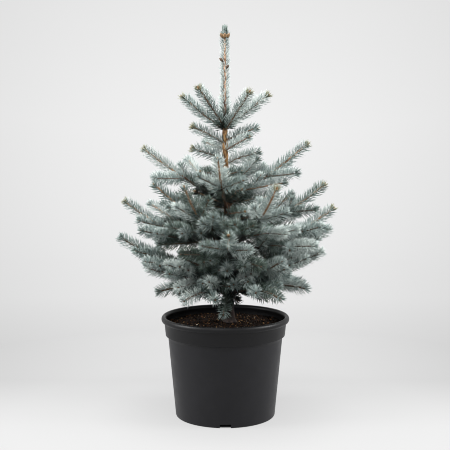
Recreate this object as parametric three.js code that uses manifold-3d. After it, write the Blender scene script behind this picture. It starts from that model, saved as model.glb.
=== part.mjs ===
// A young blue spruce in a round nursery pot.
// Millimetres and degrees, +Z up. The origin is the centre of the pot's flat underside.
// A turn of 0 points along +X, and a turn of 90 points along +Y.

import * as THREE from "three";
import { mergeVertices } from "three/addons/utils/BufferGeometryUtils.js";
import Module from "manifold-3d";

const wasm = await Module();
wasm.setup();

// ---------------------------------------------------------------- driving dimensions

const CLEARANCE = 0.35; // left between two neighbouring pieces
const TRUNK_CLEARANCE = 0.39; // left round the trunk
const LEAST_GAP = 0.31; // two masses nearer than this are cut back

const POT = {
  height: 237,
  rimRadius: 150,
  rollWide: 5.5, // half thickness of the rolled rim, outwards
  rollTall: 7.1, // half thickness of the rolled rim, upwards
  bandTopRadius: 143.2,
  bandFootRadius: 140.3,
  bandFootHeight: 192,
  wallTopRadius: 134.4,
  wallTopHeight: 190,
  wallFootRadius: 117.2,
  cornerRadius: 4,
  cornerSteps: 3,
  step: 2, // height of the step between wall and band
  lip: 3, // the inner face starts this far under the roll
  thickness: 2.5,
  rollFrom: -90, // the roll is an arc from below
  rollTo: 198, // over the top to the inner face
  rollSteps: 8,
  segments: 44,
};
const NOTCH = { count: 4, width: 25, height: 9, depth: 9 }; // drain notches in the foot of the wall

const SOIL = {
  edgeHeight: 216,
  crownHeight: 220.5,
  crownRadius: 24, // level ground round the trunk
  rings: [58, 94, 124],
  lump: 1.6,
  segments: 24,
  seed: 7,
};

const TRUNK = {
  footOffset: 11, // the foot stands this far to +X of the pot's axis
  tipOffset: -1,
  straightFrom: 650, // above this height the trunk stands upright
  sides: 10,
  flareLobes: 4,
  flareTurn: 1, // radians
  flareDepth: 0.16,
  flareHeight: 28,
  taper: [ // height above the foot, radius
    [0, 15], [5, 12.6], [13, 11.2], [29, 10.3], [80, 9.6], [164, 8.4], [180, 7.9], [274, 7.1], [288, 6.7],
    [380, 6.3], [444, 6], [454, 5.4], [464, 3.7], [540, 3.3], [630, 2.8], [670, 2.6], [678, 1.2],
  ],
};

const LEADER = { // the needles that hug the top shoot
  from: 688,
  middle: 837,
  to: 897,
  coreRadius: 5.2,
  coreTip: 4.2,
  reach: 11.5,
  lean: 34, // between needle and stem
  tuft: 11,
  sides: 6,
  pitch: 18,
};

// How each tier's side shoots stand: their fall below the bough's own rise, their share of the length
// that is left beyond them, whether a short upright shoot may stand among them, and the needles' reach.
const TIERS = {
  top: { fall: 0, share: 0.6, upright: false, reach: 16.5 },
  stem: { fall: 0, share: 0.6, upright: false, reach: 15.5 },
  upper: { fall: 26, share: 0.82, upright: true, reach: 16.5 },
  middle: { fall: 18, share: 0.74, upright: true, reach: 16.5 },
  lower: { fall: 10, share: 0.7, upright: false, reach: 16 },
  skirt: { fall: 4, share: 0.66, upright: false, reach: 15 },
};

// tier, height on the trunk, turn, rise at the trunk, lift out to the tip, length, years, seed, limb
const BOUGHS = [
  ["top", 669, 186, 36, 4, 131, 1, 1],
  ["top", 677, 231, 42, 2, 134, 1, 2],
  ["top", 669, 310, 44, 2, 128, 1, 3],
  ["top", 677, 354, 34, 4, 131, 1, 4],
  ["top", 673, 92, 42, 2, 112, 1, 5],
  ["stem", 639, 190, 31, -8, 92, 1, 6],
  ["stem", 645, 350, 26, -8, 88, 1, 7],
  ["stem", 623, 315, 23, 0, 90, 1, 8],
  ["stem", 624, 130, 14, 0, 83, 1, 9],
  ["stem", 601, 185, 24, -10, 88, 1, 10],
  ["stem", 593, 0, 25, -12, 89, 1, 11],
  ["upper", 500, 175, 29, 8, 238, 2, 250, "limb"],
  ["upper", 492, 5, 37, 1, 245, 2, 537, "limb"],
  ["upper", 490, 262, 26, 26, 196, 2, 2],
  ["upper", 505, 131, 28, 10, 182, 2, 757],
  ["upper", 505, 55, 38, 14, 154, 2, 981],
  ["middle", 385, 170, 14, 22, 283, 3, 61, "limb"],
  ["middle", 405, 148, 14, 14, 248, 3, 673],
  ["middle", 395, 238, 22, 36, 246, 3, 709, "limb"],
  ["middle", 380, 272, 4, 26, 245, 3, 340, "limb"],
  ["middle", 395, 302, 20, 34, 257, 3, 59, "limb"],
  ["middle", 380, 358, 10, 28, 277, 3, 346, "limb"],
  ["middle", 405, 22, 20, 16, 293, 3, 747, "limb"],
  ["middle", 400, 88, 20, 20, 235, 3, 350],
  ["middle", 425, 196, 26, 18, 220, 2, 833],
  ["middle", 420, 36, 19, 14, 225, 2, 945],
  ["lower", 320, 183, 13, 18, 281, 4, 39, "limb"],
  ["lower", 325, 10, 16, 18, 277, 4, 796, "limb"],
  ["lower", 310, 344, 15, 12, 244, 4, 351, "limb"],
  ["lower", 318, 312, 12, 16, 193, 4, 451],
  ["lower", 336, 224, 12, 14, 156, 4, 776],
  ["lower", 304, 50, 6, 12, 222, 3, 738],
  ["lower", 308, 95, 5, 12, 214, 3, 162],
  ["lower", 304, 136, 6, 12, 226, 3, 859],
  ["lower", 312, 205, 8, 11, 214, 3, 567],
  ["lower", 312, 250, 4, 12, 141, 2, 60],
  ["lower", 314, 288, 3, 13, 147, 2, 61],
  ["skirt", 285, 195, 24, -40, 182, 2, 308],
  ["skirt", 284, 236, 23, -40, 190, 2, 511],
  ["skirt", 278, 268, 14, -46, 128, 1, 46],
  ["skirt", 284, 303, 25, -40, 214, 2, 92],
  ["skirt", 284, 338, 26, -40, 204, 2, 645],
  ["skirt", 286, 26, 22, -38, 190, 2, 845],
  ["skirt", 284, 72, 22, -38, 185, 2, 57],
  ["skirt", 286, 118, 22, -38, 190, 2, 465],
];

const YEAR_SHARES = { // how a bough's length is shared among its years, from the trunk out
  1: [1],
  2: [0.5, 0.5],
  3: [0.34, 0.26, 0.4],
  4: [0.26, 0.2, 0.2, 0.34],
};
const TWIG = {
  step: 20, // between the points of a stem's path
  tuft: 11, // the needles at a tip reach this far past its bud
  sideTurn: 40,
  sideTurnSpread: 10,
  riseSpread: 9,
  shareSpread: 0.12,
  sideLift: 4,
  reachByLevel: 0.95,
  shortest: 34,
  branching: 100, // a side shoot longer than this has grown for more than one year
  upright: {
    chance: 0.6, turnSpread: 30, rise: 40, riseSpread: 14, steepest: 82, length: 38, lengthSpread: 8,
  },
};

const LIMB = { // the bare inner part of a long bough
  share: 0.24, // of the bough's length
  radius: 2.4,
  radiusPerYear: 0.75,
  tip: 0.72, // share of the radius that is left at its end
  rings: 4,
  sides: 7,
};

const SPRAY = { // a stem with teeth of needles
  sides: [4, 3, 3], // by level of side shoots
  pitch: [20, 20, 22], // between two rings of teeth, by level
  core: 2.9, // radius of the stem's core at its root
  coreTip: 2.1,
  lean: 52,
  tuft: 14,
  bareRoot: 12,
  nodeRoom: 8, // no teeth this far past a node
  bareInner: 0.2, // share of a bough of more than a year that carries no needles
  twist: 24, // from one ring of teeth to the next
  margin: 0.7, // added round a piece to find the teeth that come too near it
  rounds: 6, // tries at leaving out more teeth
  deepest: 2, // level of side shoots that is still built
  crowding: 16, // a side shoot this near to another of its mass is skipped
  crowdedAt: [0.6, 1], // shares of a side shoot's length where that is looked at
  shorten: [1, 0.85, 0.7],
  least: 54, // a shorter side shoot is too fine for these solids
};

const BARK = { roughness: 0.85 };
const NEEDLES = { roughness: 0.8 };
const LOOKS = {
  pot: { color: 0x28282b, roughness: 0.5 },
  soil: { color: 0x241a13, roughness: 0.95 },
  trunk: { color: 0x9c7245, ...BARK },
  limb: { color: 0x6f4c33, ...BARK },
  leader: { color: 0x93a6a0, ...NEEDLES },
  top: { color: 0x8ea7a6, ...NEEDLES },
  stem: { color: 0x86a1a1, ...NEEDLES },
  upper: { color: 0x809b9c, ...NEEDLES },
  middle: { color: 0x76919a, ...NEEDLES },
  lower: { color: 0x6c878b, ...NEEDLES },
  skirt: { color: 0x5f7a76, ...NEEDLES },
};

// ---------------------------------------------------------------- helpers

/** Even draws from 0 to 1 that repeat for each seed. */
function makeDraws(seed) {
  let state = (seed * 2654435761) % 4294967296;
  const next = () => {
    state = (state * 1664525 + 1013904223) % 4294967296;
    return state / 4294967296;
  };
  next();
  next();
  return { next, spread: (half) => (next() * 2 - 1) * half };
}

const radians = THREE.MathUtils.degToRad;

/** Unit vector with a turn about +Z and a rise above the level. */
function heading(turn, rise) {
  const level = Math.cos(radians(rise));
  return new THREE.Vector3(
    level * Math.cos(radians(turn)),
    level * Math.sin(radians(turn)),
    Math.sin(radians(rise)),
  );
}

/** Closed solid from points and triangles. */
function toSolid(points, triangles) {
  const vertProperties = new Float32Array(points.flatMap((point) => [point.x, point.y, point.z]));
  const triVerts = new Uint32Array(triangles.flat());
  return new wasm.Manifold(new wasm.Mesh({ numProp: 3, vertProperties, triVerts }));
}

/** Closed solid from one of the geometry classes. */
function geometryToSolid(geometry) {
  geometry.deleteAttribute("normal");
  geometry.deleteAttribute("uv");
  const merged = mergeVertices(geometry, 1e-4);
  return new wasm.Manifold(new wasm.Mesh({
    numProp: 3,
    vertProperties: new Float32Array(merged.attributes.position.array),
    triVerts: new Uint32Array(merged.index.array),
  }));
}

function toGeometry(solid) {
  const { vertProperties, triVerts, numProp } = solid.getMesh();
  const positions = new Float32Array((vertProperties.length / numProp) * 3);
  for (let i = 0; i < positions.length / 3; i += 1) {
    positions.set(vertProperties.subarray(i * numProp, i * numProp + 3), i * 3);
  }
  const geometry = new THREE.BufferGeometry();
  geometry.setAttribute("position", new THREE.BufferAttribute(positions, 3));
  geometry.setIndex(new THREE.BufferAttribute(new Uint32Array(triVerts), 1));
  geometry.computeVertexNormals();
  return geometry;
}

/** The largest of a solid's separate bodies: loose scraps are dropped. */
function largestBody(solid) {
  const bodies = solid.decompose();
  return bodies.reduce((best, body) => (body.volume() > best.volume() ? body : best), bodies[0]);
}

const PATH = {
  reach: 4, // the direction at a distance is taken this far to both sides
  reachShare: 0.25, // or over this share of the path, where that is less
  steep: 0.9, // a path that climbs by more than this share takes its sides from +Y
};

/** A polyline that can be read by distance from its start. */
class Path {
  constructor(points) {
    this.points = points;
    this.distances = [0];
    for (let i = 1; i < points.length; i += 1) {
      this.distances.push(this.distances[i - 1] + points[i].distanceTo(points[i - 1]));
    }
    this.length = this.distances[points.length - 1];
  }

  at(distance) {
    let i = 1;
    while (i < this.points.length - 1 && this.distances[i] < distance) i += 1;
    const span = this.distances[i] - this.distances[i - 1];
    const share = (distance - this.distances[i - 1]) / span;
    return this.points[i - 1].clone().lerp(this.points[i], share);
  }

  /** Axes of the cross section at a distance: along the path, to the side and up. */
  frame(distance) {
    const reach = Math.min(PATH.reach, this.length * PATH.reachShare);
    const before = this.at(Math.max(0, distance - reach));
    const along = this.at(Math.min(this.length, distance + reach)).sub(before).normalize();
    const reference = new THREE.Vector3(0, 0, 1);
    const climb = Math.abs(this.points[1].z - this.points[0].z) / this.distances[1];
    if (climb > PATH.steep) reference.set(0, 1, 0);
    const side = reference.cross(along).normalize();
    return { along, side, up: along.clone().cross(side) };
  }
}

/** Corners of one cross section of a path. */
function ring(path, distance, radius, sides, phase = 0) {
  const centre = path.at(distance);
  const { side, up } = path.frame(distance);
  return Array.from({ length: sides }, (_, i) => {
    const angle = (i / sides) * 2 * Math.PI + phase;
    return centre.clone()
      .addScaledVector(side, radius * Math.cos(angle))
      .addScaledVector(up, radius * Math.sin(angle));
  });
}

/** Closed solid through a list of rings with equal numbers of corners. */
function loft(rings) {
  const sides = rings[0].length;
  const points = rings.flat();
  const triangles = [];
  for (let k = 0; k < rings.length - 1; k += 1) {
    for (let i = 0; i < sides; i += 1) {
      const j = (i + 1) % sides;
      const [a, b, c, d] = [k * sides + i, k * sides + j, (k + 1) * sides + j, (k + 1) * sides + i];
      triangles.push([a, b, c], [a, c, d]);
    }
  }
  addCap(triangles, 0, sides, true);
  addCap(triangles, (rings.length - 1) * sides, sides, false);
  return toSolid(points, triangles);
}

function addCap(triangles, first, sides, atStart) {
  for (let i = 1; i < sides - 1; i += 1) {
    triangles.push(atStart
      ? [first, first + i + 1, first + i]
      : [first, first + i, first + i + 1]);
  }
}

function makeMesh(name, geometry, look) {
  const material = new THREE.MeshStandardMaterial({ ...look, metalness: 0 });
  const mesh = new THREE.Mesh(geometry, material);
  mesh.name = name;
  return mesh;
}

// ---------------------------------------------------------------- pot and soil

/** Radius of the pot's inner face at a height. */
function potInside(height) {
  const { thickness: wall } = POT;
  if (height > POT.wallTopHeight) {
    const share = (height - POT.bandFootHeight) / (POT.height - POT.rollTall * 2 - POT.bandFootHeight);
    return THREE.MathUtils.lerp(POT.bandFootRadius, POT.bandTopRadius, share) - wall;
  }
  return THREE.MathUtils.lerp(POT.wallFootRadius, POT.wallTopRadius, height / POT.wallTopHeight) - wall;
}

/** Points on an ellipse's arc, as radius and height. */
function arc(middleRadius, middleHeight, wide, tall, from, to, steps) {
  return Array.from({ length: steps + 1 }, (_, i) => {
    const angle = radians(THREE.MathUtils.lerp(from, to, i / steps));
    return [middleRadius + wide * Math.cos(angle), middleHeight + tall * Math.sin(angle)];
  });
}

function makePot() {
  const { thickness: wall, cornerRadius: corner } = POT;
  const rollHeight = POT.height - POT.rollTall;
  const rollFoot = rollHeight - POT.rollTall;
  const profile = [[0, 0]];
  profile.push(...arc(POT.wallFootRadius - corner, corner, corner, corner, -90, 0, POT.cornerSteps));
  profile.push([POT.wallTopRadius, POT.wallTopHeight], [POT.bandFootRadius, POT.bandFootHeight]);
  profile.push([POT.bandTopRadius, rollFoot]);
  const { rollWide, rollTall, rollFrom, rollTo, rollSteps } = POT;
  const rollMiddle = POT.rimRadius - rollWide;
  profile.push(...arc(rollMiddle, rollHeight, rollWide, rollTall, rollFrom, rollTo, rollSteps));
  profile.push([potInside(rollFoot), rollFoot - POT.lip]);
  for (const height of [POT.bandFootHeight, POT.wallTopHeight - POT.step, wall + corner]) {
    profile.push([potInside(height), height]);
  }
  profile.push([potInside(0) - corner, wall], [0, wall]);
  const lathe = new THREE.LatheGeometry(profile.map(([r, z]) => new THREE.Vector2(r, z)), POT.segments);
  lathe.rotateX(Math.PI / 2);
  let pot = geometryToSolid(lathe);
  for (let i = 0; i < NOTCH.count; i += 1) {
    const box = new THREE.BoxGeometry(NOTCH.width, NOTCH.depth * 2, NOTCH.height * 2);
    box.translate(0, -POT.wallFootRadius, 0);
    box.rotateZ((i * 2 * Math.PI) / NOTCH.count);
    pot = pot.subtract(geometryToSolid(box));
  }
  return makeMesh("pot", toGeometry(pot), LOOKS.pot);
}

function makeSoil() {
  const draws = makeDraws(SOIL.seed);
  const floor = POT.thickness + CLEARANCE;
  const side = 2 * CLEARANCE;
  const under = POT.wallTopHeight - POT.step - CLEARANCE;
  const outline = [ // radius, height, lump
    [potInside(0) - POT.cornerRadius - CLEARANCE, floor, 0],
    [potInside(floor + POT.cornerRadius) - CLEARANCE, floor + POT.cornerRadius, 0],
    [potInside(under) - side, under, 0],
    [potInside(POT.bandFootHeight) - side, POT.bandFootHeight, 0],
    [potInside(SOIL.edgeHeight) - side, SOIL.edgeHeight, 0],
  ];
  for (const radius of [...SOIL.rings].reverse()) {
    const share = 1 - radius / potInside(SOIL.edgeHeight);
    outline.push([radius, THREE.MathUtils.lerp(SOIL.edgeHeight, SOIL.crownHeight, share), SOIL.lump]);
  }
  outline.push([SOIL.crownRadius, SOIL.crownHeight, 0]);
  const rings = outline.map(([radius, height, lump]) => Array.from({ length: SOIL.segments }, (_, i) => {
    const angle = (i / SOIL.segments) * 2 * Math.PI;
    return new THREE.Vector3(
      radius * Math.cos(angle),
      radius * Math.sin(angle),
      height + draws.spread(1) * lump,
    );
  }));
  return makeMesh("soil", toGeometry(loft(rings)), LOOKS.soil);
}

// ---------------------------------------------------------------- trunk

const TRUNK_FOOT = SOIL.crownHeight + CLEARANCE;

/** Point on the trunk's centre line. */
function trunkAt(height) {
  const share = THREE.MathUtils.clamp((height - TRUNK_FOOT) / (TRUNK.straightFrom - TRUNK_FOOT), 0, 1);
  return new THREE.Vector3(THREE.MathUtils.lerp(TRUNK.footOffset, TRUNK.tipOffset, share), 0, height);
}

/** The trunk, or with a margin the space that other pieces leave round it. */
function trunkSolid(margin = 0) {
  const rings = TRUNK.taper.map(([above, radius]) => {
    const centre = trunkAt(TRUNK_FOOT + above);
    const flare = TRUNK.flareDepth * Math.max(0, 1 - above / TRUNK.flareHeight);
    return Array.from({ length: TRUNK.sides }, (_, i) => {
      const angle = (i / TRUNK.sides) * 2 * Math.PI;
      const size = radius * (1 + flare * Math.cos(angle * TRUNK.flareLobes + TRUNK.flareTurn)) + margin;
      return centre.clone().add(new THREE.Vector3(size * Math.cos(angle), size * Math.sin(angle), 0));
    });
  });
  return loft(rings);
}

const trunkSpace = trunkSolid(TRUNK_CLEARANCE);

// ---------------------------------------------------------------- growth

/** Adds a stem and the side shoots that branch from it, year by year. */
function grow(twigs, draws, tier, parent, start, turn, rise, lift, length, years, level) {
  const rule = TIERS[tier];
  const points = [start.clone()];
  const twig = { parent, level, years, points, nodes: [], reach: rule.reach * TWIG.reachByLevel ** level };
  twigs.push(twig);
  const tip = start.clone();
  let done = 0;
  YEAR_SHARES[years].forEach((share, year) => {
    const grown = length * share;
    const steps = Math.max(2, Math.floor(grown / TWIG.step));
    for (let i = 0; i < steps; i += 1) {
      const middle = (done + (grown * (i + 0.5)) / steps) / length;
      tip.addScaledVector(heading(turn, rise + lift * middle), grown / steps);
      points.push(tip.clone());
    }
    done += grown;
    const younger = years - 1 - year;
    if (younger === 0) return;
    twig.nodes.push(done);
    const here = rise + (lift * done) / length;
    const left = length - done;
    for (const side of [1, -1]) {
      const sideTurn = turn + side * (TWIG.sideTurn + draws.spread(TWIG.sideTurnSpread));
      const sideRise = here - rule.fall / (1 + level) + draws.spread(TWIG.riseSpread);
      const sideLength = left * (rule.share + draws.spread(TWIG.shareSpread));
      const sideYears = sideLength > TWIG.branching ? younger : 1;
      if (sideLength > TWIG.shortest) {
        const { sideLift } = TWIG;
        grow(twigs, draws, tier, twig, tip, sideTurn, sideRise, sideLift, sideLength, sideYears, level + 1);
      }
    }
    if (level === 0 && younger === 1) {
      const { upright } = TWIG;
      const chance = draws.next();
      const upTurn = turn + draws.spread(upright.turnSpread);
      const upRise = Math.min(upright.steepest, here + upright.rise + draws.spread(upright.riseSpread));
      const upLength = upright.length + draws.spread(upright.lengthSpread);
      if (chance < upright.chance && rule.upright) {
        grow(twigs, draws, tier, twig, tip, upTurn, upRise, 0, upLength, 1, level + 1);
      }
    }
  });
}

/**
 * A slim stem whose faces are drawn out into forward-leaning teeth of needles.
 * skipped holds the numbers of teeth that are left out, and margin fattens the whole spray.
 */
function sprayOf(path, size, skipped = new Set(), margin = 0) {
  const { from, to, sides, reach, lean, tuft, bare, nodes } = size;
  const bands = Math.max(2, Math.round((to - from) / size.pitch));
  const distanceAt = (k) => from + ((to - from) * k) / bands;
  const coreAt = (k) => THREE.MathUtils.lerp(size.core, size.coreTip, k / bands) + margin;
  const points = [];
  const triangles = [];
  const teeth = [];
  for (let k = 0; k <= bands; k += 1) {
    points.push(...ring(path, distanceAt(k), coreAt(k), sides, radians(SPRAY.twist * k)));
  }
  for (let k = 0; k < bands; k += 1) {
    const middle = (distanceAt(k) + distanceAt(k + 1)) / 2;
    const centre = path.at(middle);
    const { along } = path.frame(middle);
    const atNode = nodes.some((node) => distanceAt(k) - SPRAY.nodeRoom < node && node < distanceAt(k + 1));
    for (let i = 0; i < sides; i += 1) {
      const j = (i + 1) % sides;
      const number = k * sides + i;
      const corners = [number, k * sides + j, (k + 1) * sides + j, (k + 1) * sides + i];
      if (distanceAt(k) < bare || atNode || skipped.has(number)) {
        triangles.push([corners[0], corners[1], corners[2]], [corners[0], corners[2], corners[3]]);
        continue;
      }
      const face = new THREE.Vector3();
      corners.forEach((corner) => face.addScaledVector(points[corner], 1 / corners.length));
      const outward = face.clone().sub(centre).normalize();
      const out = reach + margin - coreAt(k);
      const apex = face.addScaledVector(outward, out).addScaledVector(along, out / Math.tan(radians(lean)));
      teeth.push({ number, box: new THREE.Box3().setFromPoints([...corners.map((n) => points[n]), apex]) });
      corners.forEach((corner, n) => {
        triangles.push([corner, corners[(n + 1) % corners.length], points.length]);
      });
      points.push(apex);
    }
  }
  addCap(triangles, 0, sides, true);
  const endRing = bands * sides;
  for (let i = 0; i < sides; i += 1) {
    triangles.push([endRing + i, endRing + ((i + 1) % sides), points.length]);
  }
  points.push(path.at(to).addScaledVector(path.frame(to).along, tuft + margin));
  return { solid: toSolid(points, triangles).subtract(trunkSpace), teeth };
}

/** The bare limb that carries a mass: it ends where the mass begins. */
function limbOf(path, end, years, margin = 0) {
  const root = LIMB.radius + LIMB.radiusPerYear * years + margin;
  const rings = Array.from({ length: LIMB.rings + 1 }, (_, i) => {
    const share = i / LIMB.rings;
    return ring(path, end * share, THREE.MathUtils.lerp(root, root * LIMB.tip, share), LIMB.sides);
  });
  return loft(rings).subtract(trunkSpace);
}

/** Every bough with its stems, and its limb where it has one. */
function growBoughs() {
  const counts = {};
  return BOUGHS.map(([tier, height, turn, rise, lift, length, years, seed, limb]) => {
    counts[tier] = (counts[tier] ?? 0) + 1;
    const twigs = [];
    grow(twigs, makeDraws(seed), tier, null, trunkAt(height), turn, rise, lift, length - TWIG.tuft, years, 0);
    const path = new Path(twigs[0].points);
    const bough = { name: `${tier}_${counts[tier]}`, tier, years, twigs, path, sprays: [] };
    if (limb) {
      bough.limbEnd = (length - TWIG.tuft) * LIMB.share;
      bough.limb = limbOf(path, bough.limbEnd, years);
      bough.limbSpace = limbOf(path, bough.limbEnd, years, SPRAY.margin);
    }
    return bough;
  });
}

/** The sizes of one stem's spray, shortened by a share. */
function sizeOfSpray(bough, twig, path, share) {
  const main = twig.level === 0;
  const wood = main && bough.years > 1;
  const from = main && bough.limb ? bough.limbEnd + CLEARANCE : 0;
  return {
    from,
    to: path.length * share,
    core: wood ? (LIMB.radius + LIMB.radiusPerYear * bough.years) * LIMB.tip : SPRAY.core,
    coreTip: SPRAY.coreTip,
    reach: twig.reach,
    lean: SPRAY.lean,
    tuft: SPRAY.tuft,
    bare: wood && !bough.limb ? path.length * SPRAY.bareInner : from + SPRAY.bareRoot,
    nodes: twig.nodes,
    pitch: SPRAY.pitch[twig.level],
    sides: SPRAY.sides[twig.level],
  };
}

/** Whether a stem's outer half runs beside another stem of its own mass. */
function isCrowded(bough, twig, share) {
  const path = new Path(twig.points);
  return SPRAY.crowdedAt.some((part) => {
    const point = path.at(path.length * share * part);
    const others = bough.twigs.filter((other) => other.placed && other !== twig.parent);
    return others.some(({ points }) => points.some((near, i) => (
      i > 0 && distanceToSegment(point, points[i - 1], near) < SPRAY.crowding)));
  });
}

function distanceToSegment(point, from, to) {
  return new THREE.Line3(from, to).closestPointToPoint(point, true, new THREE.Vector3()).distanceTo(point);
}

function boxesMeet(a, b) {
  return [0, 1, 2].every((axis) => (
    a.min[axis] - CLEARANCE < b.max[axis] && b.min[axis] - CLEARANCE < a.max[axis]));
}

/** The teeth whose boxes hold a corner of the common space of two solids. */
function teethInside(teeth, common) {
  const { vertProperties, numProp } = common.getMesh();
  const found = new Set();
  for (let i = 0; i < vertProperties.length; i += numProp) {
    const corner = new THREE.Vector3().fromArray(vertProperties, i);
    for (const tooth of teeth) {
      if (tooth.box.distanceToPoint(corner) < CLEARANCE) found.add(tooth.number);
    }
  }
  return found;
}

/** A spray that keeps clear of its rivals by leaving out teeth, or null. */
function clearSpray(path, size, rivals) {
  const skipped = new Set();
  for (let round = 0; round < SPRAY.rounds; round += 1) {
    const { solid, teeth } = sprayOf(path, size, skipped);
    const box = solid.boundingBox();
    const met = rivals.filter((rival) => boxesMeet(rival.box, box)
      && rival.solid.minGap(solid, 1) < LEAST_GAP);
    if (met.length === 0) return { solid, box, space: sprayOf(path, size, skipped, SPRAY.margin).solid };
    const count = skipped.size;
    for (const rival of met) {
      teethInside(teeth, solid.intersect(rival.space)).forEach((number) => skipped.add(number));
    }
    if (skipped.size === count) return null;
  }
  return null;
}

/** Places each stem that keeps clear of every limb and every other mass, main stems first. */
function placeSprays(boughs, leader) {
  const placed = boughs.filter((bough) => bough.limb).map((bough) => (
    { owner: null, solid: bough.limb, space: bough.limbSpace, box: bough.limb.boundingBox() }));
  placed.push({ owner: null, ...leader });
  for (let level = 0; level <= SPRAY.deepest; level += 1) {
    for (const bough of boughs) {
      for (const twig of bough.twigs.filter((one) => one.level === level)) {
        if (twig.parent && !twig.parent.placed) continue;
        const path = new Path(twig.points);
        const rivals = placed.filter((piece) => piece.owner !== bough);
        for (const share of level === 0 ? [1] : SPRAY.shorten) {
          if (level > 0 && (path.length * share < SPRAY.least || isCrowded(bough, twig, share))) break;
          const spray = clearSpray(path, sizeOfSpray(bough, twig, path, share), rivals);
          if (level === 0 && !spray) throw new Error(`the main stem of ${bough.name} is not clear`);
          if (!spray) continue;
          twig.placed = true;
          placed.push({ owner: bough, ...spray });
          bough.sprays.push(spray.solid);
          break;
        }
      }
    }
  }
}

function makeLeader() {
  const path = new Path([LEADER.from, LEADER.middle, LEADER.to].map(trunkAt));
  const size = {
    from: 0,
    to: path.length,
    core: LEADER.coreRadius,
    coreTip: LEADER.coreTip,
    reach: LEADER.reach,
    lean: LEADER.lean,
    tuft: LEADER.tuft,
    bare: 0,
    nodes: [],
    pitch: LEADER.pitch,
    sides: LEADER.sides,
  };
  const { solid } = sprayOf(path, size);
  return { solid, box: solid.boundingBox(), space: sprayOf(path, size, new Set(), SPRAY.margin).solid };
}

// ---------------------------------------------------------------- the whole plant

const plant = new THREE.Group();
plant.add(makePot(), makeSoil());
plant.add(makeMesh("trunk", toGeometry(trunkSolid()), LOOKS.trunk));

const leader = makeLeader();
plant.add(makeMesh("foliage_leader", toGeometry(leader.solid), LOOKS.leader));

const boughs = growBoughs();
placeSprays(boughs, leader);
for (const bough of boughs) {
  if (bough.limb) plant.add(makeMesh(`bough_${bough.name}`, toGeometry(bough.limb), LOOKS.limb));
  const mass = largestBody(wasm.Manifold.union(bough.sprays));
  plant.add(makeMesh(`foliage_${bough.name}`, toGeometry(mass), LOOKS[bough.tier]));
}

export default plant;
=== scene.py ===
"""The looks of a young blue spruce in a round nursery pot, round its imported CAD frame.

The plant grows by the same seeded rule as the CAD part, and is carried on to single needles, buds and bark.
Sizes are in millimetres and angles in degrees, as in the part's source. They become metres where meshes are
made. A turn of 0 points along +X, and a turn of 90 points along +Y.
"""

import math
from types import SimpleNamespace as Sizes

import bpy
import numpy as np
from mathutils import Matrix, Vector, noise


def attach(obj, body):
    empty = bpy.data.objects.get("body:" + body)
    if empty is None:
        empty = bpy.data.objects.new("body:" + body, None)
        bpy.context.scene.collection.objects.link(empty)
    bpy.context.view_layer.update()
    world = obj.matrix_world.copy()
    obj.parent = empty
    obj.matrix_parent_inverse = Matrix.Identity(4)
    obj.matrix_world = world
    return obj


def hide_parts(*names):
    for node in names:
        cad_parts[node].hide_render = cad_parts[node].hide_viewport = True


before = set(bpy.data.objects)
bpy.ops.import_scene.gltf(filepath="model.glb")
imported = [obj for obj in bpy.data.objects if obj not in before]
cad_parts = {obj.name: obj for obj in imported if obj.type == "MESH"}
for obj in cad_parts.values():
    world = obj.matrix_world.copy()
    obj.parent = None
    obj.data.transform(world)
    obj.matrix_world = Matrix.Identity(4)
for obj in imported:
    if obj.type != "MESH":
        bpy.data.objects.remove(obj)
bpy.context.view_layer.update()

MM = 0.001

# ---- sizes shared with the CAD part

POT = Sizes(
    height=237, rim_radius=150, roll_wide=5.5, roll_tall=7.1,
    band_top_radius=143.2, band_foot_radius=140.3, band_foot_height=192,
    wall_top_radius=134.4, wall_top_height=190, wall_foot_radius=117.2,
    corner_radius=4, thickness=2.5,
)
NOTCH = Sizes(count=4, width=25, height=9, depth=9)
SOIL = Sizes(edge_height=216, crown_height=220.5)
TRUNK_FOOT = 220.85
TRUNK = Sizes(
    foot_offset=11, tip_offset=-1, straight_from=650,
    flare_lobes=4, flare_depth=0.16, flare_height=28,
    taper=[  # height above the foot, radius
        (0, 15), (5, 12.6), (13, 11.2), (29, 10.3), (80, 9.6), (164, 8.4), (180, 7.9), (274, 7.1), (288, 6.7),
        (380, 6.3), (444, 6), (454, 5.4), (464, 3.7), (540, 3.3), (630, 2.8), (670, 2.6), (678, 1.2),
    ],
)
LEADER = Sizes(
    start=676, end=890, needle=18.5, lean=43,
    dense=2.1,  # how much denser its needles stand than a side shoot's
    front=0.12,  # share of the needles that its bare front keeps
    radius=3,
    # painted shade at the leader's foot
    foot_tones=[(40, 3), (24, 4), (12, 5)],  # reach above the start, tone below it
    top_tone=(14, 2),  # reach below the ring of buds, tone above it
    darker_in=4,  # one needle in so many is a tone darker
    tuft=24, tuft_count=60, tuft_radius=7.6, tuft_lean=6, tuft_tones=(2, 3),
    buds=881, ring_count=6, ring_radius=3.5, ring_rise=42, bud_size=1.7,
    single_buds=[(828, 195, 1.7), (812, 320, 1.6)],  # height, turn, size
    single_radius=2.5, single_rise=28,
)

TIERS = {  # fall of the side shoots, their share of the length beyond them, whether uprights may stand there
    "top": (0, 0.6, False),
    "stem": (0, 0.6, False),
    "upper": (26, 0.82, True),
    "middle": (18, 0.74, True),
    "lower": (10, 0.7, False),
    "skirt": (4, 0.66, False),
}
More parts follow.
